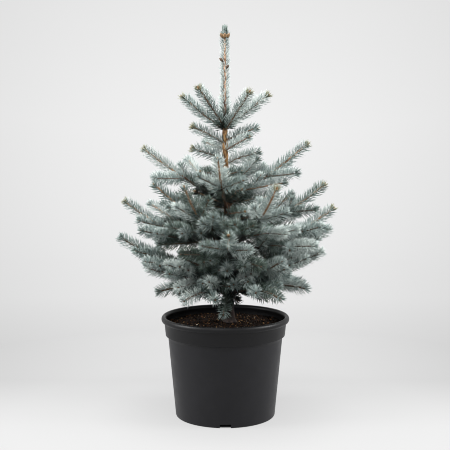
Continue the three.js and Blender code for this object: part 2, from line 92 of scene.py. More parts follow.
# by tier: height on the trunk, turn, rise at the trunk, lift out to the tip, length, years, seed
# a few at the front are turned or lifted by up to 5 degrees against their solids, to follow the photo closer
BOUGHS = {
    "top": [
        (669, 186, 36, 4, 131, 1, 1), (677, 231, 42, 2, 134, 1, 2), (669, 310, 44, 2, 128, 1, 3),
        (677, 354, 34, 4, 131, 1, 4), (673, 92, 42, 2, 112, 1, 5),
    ],
    "stem": [
        (639, 190, 31, -8, 92, 1, 6), (645, 350, 26, -8, 88, 1, 7), (623, 315, 23, 0, 90, 1, 8),
        (624, 130, 14, 0, 83, 1, 9), (601, 185, 24, -10, 88, 1, 10), (593, 0, 25, -12, 89, 1, 11),
    ],
    "upper": [
        (500, 175, 29, 8, 238, 2, 250), (492, 5, 37, 1, 245, 2, 537), (490, 262, 26, 26, 196, 2, 2),
        (505, 131, 28, 10, 182, 2, 757), (505, 55, 38, 14, 154, 2, 981),
    ],
    "middle": [
        (385, 170, 14, 22, 283, 3, 61), (405, 148, 14, 14, 248, 3, 673), (395, 238, 22, 36, 246, 3, 709),
        (380, 270, 4, 26, 245, 3, 340), (395, 302, 20, 34, 257, 3, 59), (380, 358, 10, 28, 277, 3, 346),
        (405, 22, 20, 16, 293, 3, 747), (400, 88, 20, 20, 235, 3, 350), (425, 196, 26, 18, 220, 2, 833),
        (420, 36, 19, 14, 225, 2, 945),
    ],
    "lower": [
        (320, 183, 13, 18, 281, 4, 39), (325, 10, 16, 18, 277, 4, 796), (310, 344, 15, 12, 244, 4, 351),
        (318, 312, 12, 16, 193, 4, 451), (336, 224, 12, 14, 156, 4, 776), (304, 50, 6, 12, 222, 3, 738),
        (308, 95, 5, 12, 214, 3, 162), (304, 136, 6, 12, 226, 3, 859), (312, 205, 8, 11, 214, 3, 567),
        (312, 250, 4, 12, 141, 2, 60), (314, 288, 3, 13, 147, 2, 61),
    ],
    "skirt": [
        (285, 195, 24.5, -38, 182, 2, 308), (284, 236, 23.5, -38.5, 190, 2, 511),
        (278, 263, 14, -46, 128, 1, 46), (284, 303, 25.5, -38, 214, 2, 92),
        (284, 338, 27, -37, 204, 2, 645), (286, 26, 22, -38, 190, 2, 845), (284, 72, 22, -38, 185, 2, 57),
        (286, 118, 22, -38, 190, 2, 465),
    ],
}
BUFF_TIPS = [  # boughs with a buff tip: tier, turn
    ("upper", 175), ("upper", 5), ("middle", 170), ("middle", 302), ("middle", 358), ("middle", 22),
]
YEAR_SHARES = {1: [1], 2: [0.5, 0.5], 3: [0.34, 0.26, 0.4], 4: [0.26, 0.2, 0.2, 0.34]}
TWIG = Sizes(
    step=20, tuft=11, side_turn=40, side_turn_spread=10, rise_spread=9, share_spread=0.12,
    side_lift=4, shortest=34, branching=100,
)
UPRIGHT = Sizes(
    chance=0.6, turn_spread=30, rise=40, rise_spread=14, steepest=82,
    length=38, length_spread=8,
)
LIMB = Sizes(radius=2.4, radius_per_year=0.75)

# ---- sizes of what only the scene holds

# one-year shoots straight from the trunk between the whorls: tier, height, turn, rise, length, seed
SHOOTS = [
    ("stem", 561, 186, 14, 66, 21), ("stem", 545, 174, 10, 72, 22), ("stem", 567, 20, 14, 44, 23),
    ("stem", 541, 352, 14, 46, 24), ("stem", 556, 80, 16, 60, 25), ("stem", 548, 262, 24, 44, 26),
    ("stem", 528, 118, 16, 62, 27), ("stem", 522, 232, 16, 62, 28), ("stem", 519, 312, 18, 60, 29),
    ("stem", 508, 20, 12, 70, 30), ("stem", 503, 196, 8, 72, 31), ("stem", 498, 152, 16, 74, 32),
    ("stem", 470, 238, 2, 78, 33), ("stem", 476, 306, 8, 76, 34), ("stem", 462, 346, 8, 84, 35),
    ("stem", 458, 205, 6, 82, 36), ("stem", 446, 284, 12, 62, 37), ("stem", 470, 70, 12, 84, 38),
    ("stem", 452, 128, 10, 84, 39), ("lower", 372, 262, -4, 96, 41), ("lower", 366, 284, -6, 92, 42),
    ("lower", 350, 235, -8, 92, 43), ("lower", 350, 305, -6, 88, 44), ("lower", 338, 270, -12, 86, 45),
    ("lower", 332, 215, 0, 92, 46), ("lower", 335, 330, 0, 90, 47), ("lower", 322, 238, -14, 92, 48),
    ("lower", 322, 315, -14, 130, 49), ("lower", 376, 196, 4, 100, 50), ("lower", 360, 206, 0, 80, 51),
    ("lower", 415, 189, -3, 170, 52), ("stem", 530, 28, 40, 118, 53), ("upper", 524, 348, 11, 148, 54),
    ("lower", 316, 352, 0, 182, 55), ("lower", 398, 257, -3, 180, 56), ("lower", 388, 282, -4, 184, 57),
    ("lower", 380, 269, -6, 162, 58), ("upper", 500, 12, 9, 128, 59), ("lower", 322, 240, 3, 128, 60),
    ("skirt", 288, 296, -12, 52, 61), ("upper", 488, 190, 13, 140, 62), ("upper", 498, 203, 22, 92, 63),
]
# painted shade spots, and painted light where the tones are below 0
SHADE_AND_LIGHT_SPOTS = [  # places where sprays stand darker, or paler below 0, as in the photo: x, height, reach, tones
    (-64, 398, 26, 3), (60, 382, 26, 2), (-40, 505, 26, 2), (40, 456, 28, 2), (78, 318, 24, 1),
    (24, 279, 18, 2), (-155, 446, 34, 1), (160, 484, 30, 1), (-75, 350, 34, -2), (-17, 350, 22, -3),
    (97, 415, 26, -3), (-132, 430, 20, -1), (52, 352, 22, -2), (-78, 500, 22, -1), (-35, 327, 26, -2),
    (150, 380, 60, -1), (75, 575, 28, -1), (-35, 438, 20, -1), (-50, 305, 26, 1), (90, 378, 20, 2),
    (122, 439, 18, -2), (110, 476, 24, -1), (7, 409, 12, 2),
]
FINE = Sizes(  # fine shoots between the whorls of older wood
    spacing=30, spacing_spread=0.3, first=30, first_spread=8, last=12,
    turn=52, turn_spread=16, rise=12, rise_spread=16, length=38, length_spread=10,
    within=105,  # reach round the trunk that they keep to
    tiers=("upper", "middle"),
)
NEEDLE = Sizes(
    length=20.5, length_spread=0.07, width=1.8, width_spread=0.1,
    lean=58, lean_spread=3, turn_spread=0.16,
    closing=12, tip_lean=34, tip_size=0.72,  # over this length the needles close round the bud
    per_mm={1: 2.1, 2: 1.9, 3: 1.3, 4: 0.8},  # by the age of the wood
    crest_dense=1.25,  # how much denser the top whorl's needles stand
    under=0.7,  # share of the needles that the underside keeps
    sweep=0.12,  # how far they all turn up
    bend=0.07,  # how far the tip stands off a straight line, as a share of the length
    belly=0.62, belly_bend=0.25, root_width=0.36,  # shares of the length, the bend and the width
    root_depth=0.7,  # where in the stem it starts, as a share of the stem's radius
    bare_foot=3, bare_inner=0.12,  # length, and share of an old limb's length, without needles
    tip=4.5,  # reach of the tip's own tone
)
TUFT = Sizes(  # the needles that close round a bud
    count=18, depth=4, lean=16, lean_spread=34, size=0.62, size_spread=0.16,
)
GOLDEN_TURN = math.radians(137.508)
STEM_RADIUS = {1: 2.3, 2: 2.5, 3: 2.8, 4: 3.2}  # by the years of growth
SIDE_SHOOT = Sizes(foot=1.2, stout=0.9, slim=0.68)  # shares of these radii
PEGS = Sizes(height=0.09, rows=3, twist=1.3, beat=0.9)  # what the needles stand on
BUD = Sizes(
    length=7.5, radius=2.5, sides=8, scale_height=0.1,
    profile=[(0, 0.6), (0.2, 0.95), (0.45, 1), (0.7, 0.72), (0.9, 0.36), (1, 0.06)],  # along, across
    bright=1.25, dull=0.75, size=0.9, size_spread=0.25,
)
TRUNK_MESH = Sizes(sides=40, step=2.2)
RELIEF = Sizes(  # plates of the trunk's bark
    around=2.2, along=0.03, coarse=1.6, fine=4.1, fine_share=0.5, height=0.9 / 8,
)
COMPOST = Sizes(
    rings=56, segments=190, gap=0.4,
    lumps=[(1.6, 26), (2.4, 8), (1.2, 3.2)],  # height, width
)
CRUMBS = Sizes(
    count=2600, edge=4, clear=17,  # free of them at the wall and round the trunk
    size=1.4, size_spread=3.2, pale_size=0.75,
    sides=[(1, 1), (0.7, 0.5), (0.45, 0.4)], corners=(0.8, 0.4),  # least, spread
    tilt=0.5, sunk=0.25,
    chances=[0.5, 0.2, 0.13, 0.13, 0.04],  # of each kind
)
POT_SEGMENTS = 176

CAMERA = Sizes(
    distance=2229, height=669, pitch=5.61, aside=-0.8, lens=76.9, sensor=36, filter=1.0,
)


# ---- helpers


def srgb(red, green, blue):
    """Linear colour from 0-255 screen values."""
    def linear(value):
        share = value / 255
        return share / 12.92 if share <= 0.04045 else ((share + 0.055) / 1.055) ** 2.4
    return (linear(red), linear(green), linear(blue), 1.0)


def grey(value):
    """Linear grey."""
    return (value, value, value, 1.0)


def lerp(a, b, share):
    return a + (b - a) * share


def unit(vectors):
    """The vectors at length 1, one per row."""
    return vectors / np.linalg.norm(vectors, axis=-1, keepdims=True)


class Shape:
    """Collects triangles with a material number each, and makes one mesh object of them."""

    def __init__(self):
        self.points, self.triangles, self.materials, self.count = [], [], [], 0

    def add(self, points, triangles, material=0):
        self.points.append(points)
        self.triangles.append(triangles + self.count)
        self.materials.append(np.broadcast_to(material, len(triangles)))
        self.count += len(points)

    def size(self):
        return sum(len(part) for part in self.triangles)

    def make(self, name, materials, smooth=True):
        points = np.concatenate(self.points).astype(np.float32) * MM
        triangles = np.concatenate(self.triangles).astype(np.int32)
        mesh = bpy.data.meshes.new(name)
        mesh.vertices.add(len(points))
        mesh.vertices.foreach_set("co", points.ravel())
        mesh.loops.add(triangles.size)
        mesh.loops.foreach_set("vertex_index", triangles.ravel())
        mesh.polygons.add(len(triangles))
        mesh.polygons.foreach_set("loop_start", np.arange(0, triangles.size, 3, dtype=np.int32))
        mesh.polygons.foreach_set("material_index", np.concatenate(self.materials).astype(np.int32))
        mesh.polygons.foreach_set("use_smooth", np.full(len(triangles), smooth))
        for material in materials:
            mesh.materials.append(material)
        mesh.update(calc_edges=True)
        mesh.validate()
        obj = bpy.data.objects.new(name, mesh)
        bpy.context.scene.collection.objects.link(obj)
        return obj


def place(obj, nodes):
    """Sets a finished piece on the plant's body, in the place of the CAD nodes."""
    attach(obj, "root")
    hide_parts(*nodes)
    return obj


def nodes_named(*starts):
    return [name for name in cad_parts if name.startswith(starts)]


def tube_triangles(rings, sides):
    """Triangles of a tube with flat ends through equal rings of points."""
    i = np.arange(sides)
    j = (i + 1) % sides
    first = (np.arange(rings - 1) * sides)[:, None]
    a, b, c, d = first + i, first + j, first + sides + j, first + sides + i
    walls = np.stack([np.stack([a, b, c], -1), np.stack([a, c, d], -1)], 2).reshape(-1, 3)
    fan = np.stack([np.zeros(sides - 2, int), i[1:-1], i[2:]], -1)
    return np.concatenate([walls, fan[:, ::-1], fan + (rings - 1) * sides])


def circle(count):
    """Angles at even steps all the way round."""
    return 2 * math.pi * np.arange(count) / count


def level_ring(radius, height, segments):
    angles = circle(segments)
    return np.stack([radius * np.cos(angles), radius * np.sin(angles), np.full(segments, height)], -1)


def dish_triangles(rings, segments):
    """Triangles of a round sheet that faces down: one first point, and rings of points round it."""
    i = np.arange(segments)
    j = (i + 1) % segments
    parts = [np.stack([np.zeros(segments, int), 1 + j, 1 + i], -1)]
    for k in range(rings - 1):
        a, b, c, d = (1 + k * segments + n for n in (i, j, j + segments, i + segments))
        parts += [np.stack([a, b, c], -1), np.stack([a, c, d], -1)]
    return np.concatenate(parts)


# ---- growth


class Draws:
    """Even draws from 0 to 1 that repeat for each seed."""

    def __init__(self, seed):
        self.state = (seed * 2654435761) % 2**32
        self.next()
        self.next()

    def next(self):
        self.state = (self.state * 1664525 + 1013904223) % 2**32
        return self.state / 2**32

    def spread(self, half):
        return (self.next() * 2 - 1) * half


def heading(turn, rise):
    """Unit vector with a turn about +Z and a rise above the level."""
    turn, rise = math.radians(turn), math.radians(rise)
    return np.array([math.cos(rise) * math.cos(turn), math.cos(rise) * math.sin(turn), math.sin(rise)])


def trunk_at(height):
    """Point on the trunk's centre line."""
    share = min(1, max(0, (height - TRUNK_FOOT) / (TRUNK.straight_from - TRUNK_FOOT)))
    return np.array([lerp(TRUNK.foot_offset, TRUNK.tip_offset, share), 0, height])


AXIS_REACH = 4  # a stem's direction is read over this length to both sides
STEEP = 0.9  # rise as a share of the length


class Stem:
    """A shoot with the growth of one or more years, read by the distance from its root."""

    def __init__(self, tier, level, years, start, buff=False):
        self.tier, self.level, self.years, self.buff = tier, level, years, buff
        self.points = [start]
        self.year_ends = []

    def close(self):
        self.points = np.array(self.points)
        steps = np.linalg.norm(np.diff(self.points, axis=0), axis=1)
        self.distances = np.concatenate([[0], np.cumsum(steps)])
        self.length = self.distances[-1]

    def at(self, distances):
        return np.stack([np.interp(distances, self.distances, self.points[:, axis]) for axis in range(3)], -1)

    def axes(self, distances):
        """Along the stem, to its side and up, at each distance."""
        reach = min(AXIS_REACH, self.length / 4)
        ahead = self.at(np.minimum(distances + reach, self.length))
        along = unit(ahead - self.at(np.maximum(distances - reach, 0)))
        steep = abs(self.points[-1][2] - self.points[0][2]) > STEEP * self.length
        side = unit(np.cross(np.array([0, 1, 0]) if steep else np.array([0, 0, 1]), along))
        return along, side, np.cross(along, side)

    def age(self, distances):
        """Years that the wood at each distance has stood, from 1 for this year's."""
        return self.years - np.searchsorted(self.year_ends[:-1], distances)


def grow(stems, draws, tier, start, turn, rise, lift, length, years, level, buff=False):
    """Adds a stem and the side shoots that branch from it, year by year."""
    fall, side_share, may_stand = TIERS[tier]
    stem = Stem(tier, level, years, start, buff)
    stems.append(stem)
    tip, done = start.copy(), 0
    for year, share in enumerate(YEAR_SHARES[years]):
        grown = length * share
        steps = max(2, int(grown / TWIG.step))
        for i in range(steps):
            middle = (done + grown * (i + 0.5) / steps) / length
            tip = tip + heading(turn, rise + lift * middle) * (grown / steps)
            stem.points.append(tip)
        done += grown
        stem.year_ends.append(done)
        younger = years - 1 - year
        if younger == 0:
            break
        here, left = rise + lift * done / length, length - done
        for side in (1, -1):
            side_turn = turn + side * (TWIG.side_turn + draws.spread(TWIG.side_turn_spread))
            side_rise = here - fall / (1 + level) + draws.spread(TWIG.rise_spread)
            side_length = left * (side_share + draws.spread(TWIG.share_spread))
            side_years = younger if side_length > TWIG.branching else 1
            if side_length > TWIG.shortest:
                grow(stems, draws, tier, tip, side_turn, side_rise, TWIG.side_lift, side_length,
                     side_years, level + 1)
        if level == 0 and younger == 1:
            chance = draws.next()
            up_turn = turn + draws.spread(UPRIGHT.turn_spread)
            up_rise = here + UPRIGHT.rise + draws.spread(UPRIGHT.rise_spread)
            up_rise = min(UPRIGHT.steepest, up_rise)
            up_length = UPRIGHT.length + draws.spread(UPRIGHT.length_spread)
            if chance < UPRIGHT.chance and may_stand:
                grow(stems, draws, tier, tip, up_turn, up_rise, 0, up_length, 1, level + 1)
    stem.close()


def grow_fine_shoots(stem, draws):
    """Fine shoots along the older wood of a stem, to one side and the other by turns."""
    shoots = []
    old = stem.year_ends[-2] if stem.years > 1 else 0
    distance, side = FINE.first + draws.spread(FINE.first_spread), 1
    while distance < old - FINE.last:
        along = stem.axes(np.array([distance]))[0][0]
        turn = math.degrees(math.atan2(along[1], along[0]))
        turn += side * (FINE.turn + draws.spread(FINE.turn_spread))
        rise = math.degrees(math.asin(along[2])) + FINE.rise + draws.spread(FINE.rise_spread)
        length = FINE.length + draws.spread(FINE.length_spread)
        spot = stem.at(np.array([distance]))[0]
        if distance > stem.length * NEEDLE.bare_inner and math.hypot(spot[0], spot[1]) < FINE.within:
            grow(shoots, draws, stem.tier, spot, turn, rise, 0, length, 1, stem.level + 1)
        distance += FINE.spacing * (1 + draws.spread(FINE.spacing_spread))
        side = -side
    return shoots


def grow_plant():
    """Every stem of the crown."""
    stems = []
    for tier, rows in BOUGHS.items():
        for height, turn, rise, lift, length, years, seed in rows:
            draws, own, buff = Draws(seed), [], (tier, turn) in BUFF_TIPS
            grow(own, draws, tier, trunk_at(height), turn, rise, lift, length - TWIG.tuft, years, 0, buff)
            if tier in FINE.tiers:
                for stem in list(own):
                    own.extend(grow_fine_shoots(stem, draws))
            stems.extend(own)
    for tier, height, turn, rise, length, seed in SHOOTS:
        grow(stems, Draws(seed), tier, trunk_at(height), turn, rise, 0, length - TWIG.tuft, 1, 0)
    return stems


# ---- needles

NEEDLE_SIDES = 3
NEEDLE_POINTS = 2 * NEEDLE_SIDES + 1  # round the root, round the belly, and the tip
NEEDLE_TRIANGLES = np.array(
    [[i, (i + 1) % 3, 3 + (i + 1) % 3] for i in range(3)]
    + [[i, 3 + (i + 1) % 3, 3 + i] for i in range(3)]
    + [[3 + i, 3 + (i + 1) % 3, 6] for i in range(3)])


def add_needles(shape, roots, directions, bends, lengths, widths, tones):
    """Slender three-sided needles, widest past their middle."""
    across = unit(np.cross(directions, bends + 1e-6))
    normal = np.cross(across, directions)
    bellies = roots + directions * (lengths * NEEDLE.belly)[:, None]
    bellies = bellies + bends * (lengths * NEEDLE.belly_bend)[:, None]
    points = np.empty((len(roots), NEEDLE_POINTS, 3))
    for i in range(NEEDLE_SIDES):
        angle = 2 * math.pi * i / NEEDLE_SIDES
        out = across * math.cos(angle) + normal * math.sin(angle)
        points[:, i] = roots + out * (widths * NEEDLE.root_width)[:, None]
        points[:, NEEDLE_SIDES + i] = bellies + out * (widths / 2)[:, None]
    points[:, -1] = roots + directions * lengths[:, None] + bends * lengths[:, None]
    triangles = NEEDLE_TRIANGLES[None] + (np.arange(len(roots)) * NEEDLE_POINTS)[:, None, None]
    shape.add(points.reshape(-1, 3), triangles.reshape(-1, 3), np.repeat(tones, len(NEEDLE_TRIANGLES)))


def needles_along(stem, chance, start, radius, size=NEEDLE.length, lean=NEEDLE.lean, dense=1.0,
                  under=NEEDLE.under):
    """The needles on one stem, thinned on older wood and on the underside."""
    most = max(NEEDLE.per_mm.values()) * dense
    count = int((stem.length - start) * most)
    distances = start + (np.arange(count) + 0.5) / most
    turns = np.arange(count) * GOLDEN_TURN
    kept = np.array([NEEDLE.per_mm[min(4, age)] for age in stem.age(distances)]) * dense / most
    kept *= lerp(under, 1, (1 + np.sin(turns)) / 2)
    total = np.cumsum(kept) + chance.random()
    chosen = np.floor(total) > np.floor(total - kept)
    distances, turns = distances[chosen], turns[chosen]
    count = len(distances)
    turns = turns + chance.normal(0, NEEDLE.turn_spread, count)

    closing = np.clip((stem.length - distances) / NEEDLE.closing, 0, 1)
    leans = lerp(NEEDLE.tip_lean, lean, closing) + chance.normal(0, NEEDLE.lean_spread, count)
    lengths = size * (1 + chance.normal(0, NEEDLE.length_spread, count))
    lengths *= lerp(NEEDLE.tip_size, 1, closing)
    return build_needles(stem, distances, turns, np.radians(leans), lengths, radius, stem.age(distances))


def build_needles(stem, distances, turns, leans, lengths, radius, ages):
    """Roots, directions, bends, lengths and ages of the needles at these places on a stem."""
    along, side, up = stem.axes(distances)
    out = side * np.cos(turns)[:, None] + up * np.sin(turns)[:, None]
    directions = along * np.cos(leans)[:, None] + out * np.sin(leans)[:, None]
    directions = unit(directions + np.array([0, 0, NEEDLE.sweep]))
    roots = stem.at(distances) + out * radius * NEEDLE.root_depth
    bends = along * NEEDLE.bend
    return roots, directions, bends, lengths, ages


def tuft_needles(stem, chance, radius):
    """The needles that close round a shoot's bud."""
    count = TUFT.count
    distances = stem.length - chance.random(count) * TUFT.depth
    turns = np.arange(count) * GOLDEN_TURN
    leans = np.radians(TUFT.lean + TUFT.lean_spread * chance.random(count))
    lengths = NEEDLE.length * (TUFT.size + TUFT.size_spread * chance.random(count))
    return build_needles(stem, distances, turns, leans, lengths, radius, np.zeros(count, int))


# ---- materials


def new_material(name):
    material = bpy.data.materials.new(name)
    material.use_nodes = True
    tree = material.node_tree
    shader = tree.nodes["Principled BSDF"]
    return material, tree, shader


def link(tree, value, target):
    """Feeds a node's input from a socket, or with a plain value."""
    if isinstance(value, bpy.types.NodeSocket):
        tree.links.new(value, target)
    else:
        target.default_value = value


def object_place(tree):
    """The place on the object, in metres."""
    return tree.nodes.new("ShaderNodeTexCoord").outputs["Object"]


def object_axes(tree, kind="Object"):
    """The place on the object along each axis."""
    split = tree.nodes.new("ShaderNodeSeparateXYZ")
    link(tree, tree.nodes.new("ShaderNodeTexCoord").outputs[kind], split.inputs["Vector"])
    return split.outputs


def noise_node(tree, scale, detail=4.0, stretch=None):
    """Noise over the object's own coordinates, in cells per metre."""
    spot = object_place(tree)
    texture = tree.nodes.new("ShaderNodeTexNoise")
    texture.inputs["Scale"].default_value = scale
    texture.inputs["Detail"].default_value = detail
    if stretch:
        mapping = tree.nodes.new("ShaderNodeMapping")
        mapping.inputs["Scale"].default_value = stretch
        link(tree, spot, mapping.inputs["Vector"])
        spot = mapping.outputs["Vector"]
    link(tree, spot, texture.inputs["Vector"])
    return texture.outputs["Fac"]


def ramp_node(tree, source, stops):
    """A colour ramp: stops are (place, colour)."""
    ramp = tree.nodes.new("ShaderNodeValToRGB")
    elements = ramp.color_ramp.elements
    while len(elements) < len(stops):
        elements.new(0.5)
    for element, (spot, colour) in zip(elements, stops):
        element.position = spot
        element.color = colour
    link(tree, source, ramp.inputs["Fac"])
    return ramp.outputs["Color"]


def maths(tree, operation, *values):
    """The result of a sum on sockets or plain numbers."""
    node = tree.nodes.new("ShaderNodeMath")
    node.operation = operation
    for value, target in zip(values, node.inputs):
        link(tree, value, target)
    return node.outputs["Value"]


def range_node(tree, source, start, end, to_start=0, smooth=False):
    """Runs from one value to 1 while the source runs from start to end, and stays there beyond them."""
    node = tree.nodes.new("ShaderNodeMapRange")
    if smooth:
        node.interpolation_type = "SMOOTHSTEP"
    for name, value in (("From Min", start), ("From Max", end), ("To Min", to_start)):
        node.inputs[name].default_value = value
    link(tree, source, node.inputs["Value"])
    return node.outputs["Result"]


def mix_node(tree, first, second, share, blend="MIX"):
    """Two colours mixed: the first is a socket, the other two are sockets or plain values."""
    node = tree.nodes.new("ShaderNodeMix")
    node.data_type, node.blend_type = "RGBA", blend
    for value, number in ((share, 0), (first, 6), (second, 7)):
        link(tree, value, node.inputs[number])
    return node.outputs[2]


def bump_node(tree, source, shader, strength, distance):
    bump = tree.nodes.new("ShaderNodeBump")
    bump.inputs["Strength"].default_value = strength
    bump.inputs["Distance"].default_value = distance
    link(tree, source, bump.inputs["Height"])
    link(tree, bump.outputs["Normal"], shader.inputs["Normal"])


def mottled(name, dark, light, scale, roughness, bump=None, specular=0.5):
    """A surface that wanders between two colours, given in screen values."""
    material, tree, shader = new_material(name)
    pattern = noise_node(tree, scale)
    colour = ramp_node(tree, pattern, [(0.35, srgb(*dark)), (0.65, srgb(*light))])
    link(tree, colour, shader.inputs["Base Color"])
    shader.inputs["Roughness"].default_value = roughness
    shader.inputs["Specular IOR Level"].default_value = specular
    if bump:
        bump_node(tree, pattern, shader, *bump)
    return material


# the darker tones stand both for old needles and for painted shade inside the crown
NEEDLE_TONES = [  # from this year's blue bloom to the old green inside: name, darker, lighter
    ("needle_bloom", (180, 191, 188), (210, 218, 213)),
    ("needle_blue", (150, 165, 163), (180, 191, 187)),
    ("needle_steel", (120, 136, 133), (148, 162, 157)),
    ("needle_sage", (90, 106, 99), (115, 130, 121)),
    ("needle_green", (54, 70, 60), (78, 94, 82)),
    ("needle_deep", (28, 39, 32), (46, 59, 49)),
    ("needle_shade", (14, 20, 16), (26, 34, 28)),
    ("needle_tip", (124, 126, 106), (158, 159, 136)),
]
DARKEST = 6  # the last tone that shade leads to
BUFF = 7
# places in that list that a spray's new growth, old growth and tip are dealt from: on the top whorl, on the
# steps below it, and then outside, further in and at the heart of the crown; the ones further in are darker
# for painted shade
CREST = ((0, 0, 0, 1), (1, 2, 2), (7,))
STEPS = ((0, 0, 1, 1), (1, 2, 2), (7, 1, 2, 2))
OUTER = ((0, 0, 1, 1, 1, 2), (3, 3, 4, 4), (1, 1, 2))
INNER = ((1, 2, 2, 3, 3), (4, 4, 5, 5), (2, 2, 3))
CORE = ((3, 4, 4, 5), (5, 5, 6), (3, 4, 4))
STEPS_FROM = 580  # height on the trunk
# radius of the crown by height, and the shares of it from which a tier's sprays are outer and inner ones
# (inner ones are dealt darker tones: painted shade)
CROWN = [(240, 120), (300, 165), (380, 226), (450, 236), (520, 210), (560, 100), (680, 60), (900, 20)]
OUTER_FROM = {"stem": 0.54, "upper": 0.54, "middle": 0.54, "lower": 0.46, "skirt": 0.6}
INNER_FROM = {"stem": 0, "upper": 0.36, "middle": 0.36, "lower": 0.36, "skirt": 0.4}
SPRAY_MIDDLE = 0.6  # where along a spray its place is read
# the painted shade and light spots reach back only to here
SHADE_AND_LIGHT_BEFORE = 100  # the hollows reach back to here
SHADE = {"stem": 45, "upper": 60, "middle": 103, "lower": 115, "skirt": 125}  # reach round the trunk
HANGING_SHADE = 100
SHADE_STEP, SHADE_MOST = 28, 3  # depth for each tone, and the most tones
# painted shade at the foot of the top whorl's shoots
CREST_FOOT_SHADE = [(22, 1), (15, 3), (9, 5)]  # reach from a top shoot's root, tones darker within it
STRAY = Sizes(darker=0.3, lighter=0.2)  # shares of the needles that are one tone off their spray's


def spray_spot(stem):
    return stem.at(np.array([stem.length * SPRAY_MIDDLE]))[0]


def hangs(stem):
    """Whether this is one of the small shoots that hang over the pot's front, in the light."""
    return stem.tier == "skirt" and stem.level == 0 and stem.years == 1


def tones_for(stem):
    """The tones a shoot is dealt from, by its tier and by how far out it stands: darker further in, for
    painted shade.
    """
    if stem.tier == "top":
        return CREST
    if stem.tier == "stem" and stem.points[0][2] > STEPS_FROM:
        return STEPS
    x, y, z = spray_spot(stem)
    out = math.hypot(x, y) / np.interp(z, *zip(*CROWN))
    if hangs(stem) or out > OUTER_FROM[stem.tier]:
        return OUTER
    return INNER if out > INNER_FROM[stem.tier] else CORE


def shade_and_light_shift(stem):
    """How many tones darker a spray stands for the painted shade spots that it is in, or paler for painted
    light.
    """
    x, y, z = spray_spot(stem)
    if y >= SHADE_AND_LIGHT_BEFORE:
        return 0
    return sum(tones for at, height, reach, tones in SHADE_AND_LIGHT_SPOTS if math.hypot(x - at, z - height) < reach)


def tones_within(distances, steps, tones=0):
    """The tone of the last step whose reach a distance is within, else the tones given."""
    for reach, tone in steps:
        tones = np.where(distances < reach, tone, tones)
    return tones


def needle_tones(stem, roots, ages, chance):
    """A tone for each needle of a spray: by its age, some a tone off, and darker in the shade."""
    new_tone, old_tone, tip_tone = (tones[chance.integers(len(tones))] for tones in tones_for(stem))
    if stem.buff:
        tip_tone = BUFF
    ages[np.linalg.norm(roots - stem.points[-1], axis=1) < NEEDLE.tip] = 0
    tones = np.choose(np.minimum(ages, 2), [tip_tone, new_tone, old_tone])
    draws = chance.random(len(tones))
    shift = np.where(draws < STRAY.darker, 1, np.where(draws > 1 - STRAY.lighter, -1, 0))
    shift += shade_and_light_shift(stem)
    if stem.tier == "top":
        shift += tones_within(np.linalg.norm(roots - stem.points[0], axis=1), CREST_FOOT_SHADE)
    elif stem.points[0][2] < STEPS_FROM:
        reach = HANGING_SHADE if hangs(stem) else SHADE[stem.tier]
        deep = reach - np.hypot(roots[:, 0], roots[:, 1])
        shift += np.clip(np.ceil(deep / SHADE_STEP), 0, SHADE_MOST).astype(int)
    return np.where(tones > DARKEST, tones, np.clip(tones + shift, 0, DARKEST))


# ---- the crown

PIECE_LIMIT = 176000  # a piece with more triangles takes no further spray


def add_spray(shape, stem, chance):
    """The needles of one shoot."""
    radius = STEM_RADIUS[min(4, stem.years)]
    bare = stem.length * NEEDLE.bare_inner if stem.level == 0 and stem.years > 1 else 0
    dense = NEEDLE.crest_dense if stem.tier == "top" else 1
    main = needles_along(stem, chance, bare + NEEDLE.bare_foot, radius, dense=dense)
    tuft = tuft_needles(stem, chance, radius)
    roots, directions, bends, lengths, ages = (np.concatenate(pair) for pair in zip(main, tuft))
    widths = NEEDLE.width * (1 + chance.normal(0, NEEDLE.width_spread, len(roots)))
    tones = needle_tones(stem, roots, ages, chance)
    add_needles(shape, roots, directions, bends, lengths, widths, tones)


def make_needles(stems):
    """The needles of each tier, in one piece or more."""
    chance = np.random.default_rng(10)
    materials = [mottled(name, dark, light, 90, 0.5) for name, dark, light in NEEDLE_TONES]
    for tier in TIERS:
        shapes = [Shape()]
        nodes = nodes_named(f"foliage_{tier}_")
        if tier == "top":
            add_leader_needles(shapes[0], chance)
            nodes.append("foliage_leader")
        for stem in stems:
            if stem.tier != tier:
                continue
            if shapes[-1].size() > PIECE_LIMIT:
                shapes.append(Shape())
            add_spray(shapes[-1], stem, chance)
        for number, shape in enumerate(shapes, 1):
            name = f"needles_{tier}" + (f"_{number}" if len(shapes) > 1 else "")
            place(shape.make(name, materials), nodes)


def leader_stem():
    stem = Stem("top", 0, 1, trunk_at(LEADER.start))
    stem.points.append(trunk_at(LEADER.end))
    stem.year_ends = [LEADER.end - LEADER.start]
    stem.close()
    return stem


def add_leader_needles(shape, chance):
    """Needles that hug the top shoot, with painted shade at its foot, and stand up over its buds."""
    stem = leader_stem()
    roots, directions, bends, lengths, _ = needles_along(
        stem, chance, 0, LEADER.radius, LEADER.needle, LEADER.lean, LEADER.dense, LEADER.front)
    heights = roots[:, 2]
    tones = chance.integers(0, LEADER.darker_in, len(roots)) // (LEADER.darker_in - 1)
    tones = tones_within(heights - LEADER.start, LEADER.foot_tones, tones)
    below, tone = LEADER.top_tone
    tones = np.where(heights > LEADER.buds - below, tone, tones)
    add_needles(shape, roots, directions, -bends, lengths, np.full(len(roots), NEEDLE.width), tones)

    count = LEADER.tuft_count
    distances = stem.length - chance.random(count) * TUFT.depth
    leans = np.radians(LEADER.tuft_lean * chance.random(count))
    lengths = LEADER.tuft * (0.95 + 0.05 * chance.random(count))
    radii = LEADER.tuft_radius * chance.random((count, 1))
    roots, directions, bends, lengths, _ = build_needles(
        stem, distances, np.arange(count) * GOLDEN_TURN, leans, lengths, radii, np.zeros(count, int))
    first, last = LEADER.tuft_tones
    tones = chance.integers(first, last + 1, count)
    add_needles(shape, roots, directions, -bends, lengths, np.full(count, NEEDLE.width), tones)


# ---- bark


